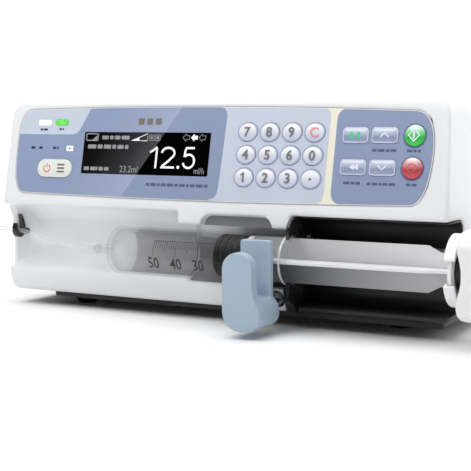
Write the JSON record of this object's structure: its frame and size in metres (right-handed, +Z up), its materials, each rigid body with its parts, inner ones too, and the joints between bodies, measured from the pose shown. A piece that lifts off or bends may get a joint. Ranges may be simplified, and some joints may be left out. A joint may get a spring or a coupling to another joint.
{
  "type": "syringe infusion pump",
  "caption": "Bench-top syringe infusion pump with sloping control panel, syringe cradle, swinging barrel clamp and screw-driven pusher holding a loaded syringe.",
  "frame": {"origin": "centre of the pump's footprint, without the infusion line, on the surface its feet stand on", "axes": "+X to the right along the syringe, +Y to the back, +Z up"},
  "size_m": [0.4619, 0.159, 0.138],
  "materials": {
    "case_white": "satin moulded",
    "recess_black": "satin black",
    "foot_rubber": "matt",
    "panel_overlay": "printed film",
    "display_glass": "glossy window",
    "lamp_white": "diffusing",
    "lamp_green": "glowing",
    "circuit_board": "solder mask",
    "drive_aluminium": "machined",
    "polished_steel": "ground",
    "motor_steel": "satin",
    "gear_brass": "machined",
    "syringe_clear": "clear",
    "connector_clear": "frosted clear",
    "plunger_plastic": "translucent",
    "pusher_white": "satin moulded",
    "clamp_blue": "satin moulded",
    "key_cap": "domed",
    "key_grey": "domed",
    "key_green": "glossy dome",
    "key_red": "glossy dome",
    "key_cream": "satin"
  },
  "bodies": {
    "root": {"front_case": "case_white", "rear_case": "case_white", "recess_liner": "recess_black", "bottom_cover": "recess_black", "foot_front_left": "foot_rubber", "foot_front_right": "foot_rubber", "foot_back_left": "foot_rubber", "foot_back_right": "foot_rubber", "control_overlay": "panel_overlay", "display_window": "display_glass", "display_module": "recess_black", "alarm_lamp": "lamp_white", "run_lamp": "lamp_green", "keypad_board": "circuit_board", "main_board": "circuit_board", "power_board": "circuit_board", "battery_pack": "recess_black", "mains_inlet": "recess_black", "drive_chassis": "drive_aluminium", "guide_rod": "polished_steel", "stepper_motor": "motor_steel", "arm_seal": "foot_rubber", "syringe_barrel": "syringe_clear", "tube_hook": "recess_black", "infusion_line": "syringe_clear", "line_coil": "syringe_clear", "line_connector": "connector_clear"},
    "pusher": {"carriage": "drive_aluminium", "pusher_arm": "polished_steel", "pusher_head": "pusher_white", "syringe_plunger": "plunger_plastic", "plunger_seal": "foot_rubber"},
    "screw": {"lead_screw": "polished_steel", "screw_gear": "gear_brass"},
    "pinion": {"motor_pinion": "gear_brass"},
    "nut": {"half_nut": "gear_brass"},
    "upper_claw": {"claw_upper": "pusher_white"},
    "lower_claw": {"claw_lower": "pusher_white"},
    "lever": {"clutch_lever": "clamp_blue"},
    "clamp_rod": {"clamp_shaft": "polished_steel"},
    "clamp": {"clamp_hook": "clamp_blue"},
    "key_7": {"key_7": "key_cap"},
    "key_8": {"key_8": "key_cap"},
    "key_9": {"key_9": "key_cap"},
    "key_clear": {"key_clear": "key_cap"},
    "key_4": {"key_4": "key_cap"},
    "key_5": {"key_5": "key_cap"},
    "key_6": {"key_6": "key_cap"},
    "key_0": {"key_0": "key_cap"},
    "key_1": {"key_1": "key_cap"},
    "key_2": {"key_2": "key_cap"},
    "key_3": {"key_3": "key_cap"},
    "key_point": {"key_point": "key_cap"},
    "key_alarm_mute": {"key_alarm_mute": "key_grey"},
    "key_up": {"key_up": "key_grey"},
    "key_bolus": {"key_bolus": "key_grey"},
    "key_down": {"key_down": "key_grey"},
    "key_start": {"key_start": "key_green"},
    "key_stop": {"key_stop": "key_red"},
    "key_power": {"key_power": "key_cream"}
  },
  "joints": [
    {"name": "pusher_slide", "type": "slide", "parent": "root", "child": "pusher", "axis": [1, 0, 0], "range_m": [-0.066, 0.026]},
    {"name": "screw_spin", "type": "hinge", "parent": "root", "child": "screw", "pos_m": [-0.02425, 0.0285, 0.04], "axis": [1, 0, 0], "range_deg": [-5950, 2350]},
    {"name": "motor_spin", "type": "hinge", "parent": "root", "child": "pinion", "pos_m": [-0.02425, 0.0505, 0.04], "axis": [1, 0, 0], "range_deg": [-4110, 10410]},
    {"name": "nut_drop", "type": "slide", "parent": "pusher", "child": "nut", "axis": [0, 0, -1], "range_m": [0, 0.004], "stiffness_N_per_m": 900},
    {"name": "clutch_squeeze", "type": "hinge", "parent": "pusher", "child": "lever", "pos_m": [0.17045, -0.0375, 0.02], "axis": [0, -1, 0], "range_deg": [0, 9]},
    {"name": "claw_upper_open", "type": "hinge", "parent": "pusher", "child": "upper_claw", "pos_m": [0.14035, -0.0375, 0.0618], "axis": [0, 1, 0], "range_deg": [0, 22]},
    {"name": "claw_lower_open", "type": "hinge", "parent": "pusher", "child": "lower_claw", "pos_m": [0.14035, -0.0375, 0.0228], "axis": [0, -1, 0], "range_deg": [0, 22]},
    {"name": "clamp_pull", "type": "slide", "parent": "root", "child": "clamp_rod", "axis": [0, -1, 0], "range_m": [0, 0.012], "stiffness_N_per_m": 150},
    {"name": "clamp_turn", "type": "hinge", "parent": "clamp_rod", "child": "clamp", "pos_m": [0.02375, -0.0675, 0.0175], "axis": [0, -1, 0], "range_deg": [0, 90]},
    {"name": "key_7_press", "type": "slide", "parent": "root", "child": "key_7", "axis": [0, 0.9795, -0.2016], "range_m": [0, 0.0008], "stiffness_N_per_m": 700},
    {"name": "key_8_press", "type": "slide", "parent": "root", "child": "key_8", "axis": [0, 0.9795, -0.2016], "range_m": [0, 0.0008], "stiffness_N_per_m": 700},
    {"name": "key_9_press", "type": "slide", "parent": "root", "child": "key_9", "axis": [0, 0.9795, -0.2016], "range_m": [0, 0.0008], "stiffness_N_per_m": 700},
    {"name": "key_clear_press", "type": "slide", "parent": "root", "child": "key_clear", "axis": [0, 0.9795, -0.2016], "range_m": [0, 0.0008], "stiffness_N_per_m": 700},
    {"name": "key_4_press", "type": "slide", "parent": "root", "child": "key_4", "axis": [0, 0.9795, -0.2016], "range_m": [0, 0.0008], "stiffness_N_per_m": 700},
    {"name": "key_5_press", "type": "slide", "parent": "root", "child": "key_5", "axis": [0, 0.9795, -0.2016], "range_m": [0, 0.0008], "stiffness_N_per_m": 700},
    {"name": "key_6_press", "type": "slide", "parent": "root", "child": "key_6", "axis": [0, 0.9795, -0.2016], "range_m": [0, 0.0008], "stiffness_N_per_m": 700},
    {"name": "key_0_press", "type": "slide", "parent": "root", "child": "key_0", "axis": [0, 0.9795, -0.2016], "range_m": [0, 0.0008], "stiffness_N_per_m": 700},
    {"name": "key_1_press", "type": "slide", "parent": "root", "child": "key_1", "axis": [0, 0.9795, -0.2016], "range_m": [0, 0.0008], "stiffness_N_per_m": 700},
    {"name": "key_2_press", "type": "slide", "parent": "root", "child": "key_2", "axis": [0, 0.9795, -0.2016], "range_m": [0, 0.0008], "stiffness_N_per_m": 700},
    {"name": "key_3_press", "type": "slide", "parent": "root", "child": "key_3", "axis": [0, 0.9795, -0.2016], "range_m": [0, 0.0008], "stiffness_N_per_m": 700},
    {"name": "key_point_press", "type": "slide", "parent": "root", "child": "key_point", "axis": [0, 0.9795, -0.2016], "range_m": [0, 0.0008], "stiffness_N_per_m": 700},
    {"name": "key_alarm_mute_press", "type": "slide", "parent": "root", "child": "key_alarm_mute", "axis": [0, 0.9795, -0.2016], "range_m": [0, 0.0008], "stiffness_N_per_m": 700},
    {"name": "key_up_press", "type": "slide", "parent": "root", "child": "key_up", "axis": [0, 0.9795, -0.2016], "range_m": [0, 0.0008], "stiffness_N_per_m": 700},
    {"name": "key_bolus_press", "type": "slide", "parent": "root", "child": "key_bolus", "axis": [0, 0.9795, -0.2016], "range_m": [0, 0.0008], "stiffness_N_per_m": 700},
    {"name": "key_down_press", "type": "slide", "parent": "root", "child": "key_down", "axis": [0, 0.9795, -0.2016], "range_m": [0, 0.0008], "stiffness_N_per_m": 700},
    {"name": "key_start_press", "type": "slide", "parent": "root", "child": "key_start", "axis": [0, 0.9795, -0.2016], "range_m": [0, 0.0008], "stiffness_N_per_m": 700},
    {"name": "key_stop_press", "type": "slide", "parent": "root", "child": "key_stop", "axis": [0, 0.9795, -0.2016], "range_m": [0, 0.0008], "stiffness_N_per_m": 700},
    {"name": "key_power_press", "type": "slide", "parent": "root", "child": "key_power", "axis": [0, 0.9795, -0.2016], "range_m": [0, 0.0008], "stiffness_N_per_m": 700}
  ],
  "couplings": [
    {"joint": "screw_spin", "follows": "pusher_slide", "rad_per_m": 1570.8},
    {"joint": "motor_spin", "follows": "pusher_slide", "rad_per_m": -2748.9},
    {"joint": "clutch_squeeze", "follows": "nut_drop", "rad_per_m": 39.2},
    {"joint": "claw_upper_open", "follows": "nut_drop", "rad_per_m": 95.6},
    {"joint": "claw_lower_open", "follows": "nut_drop", "rad_per_m": 95.6}
  ]
}
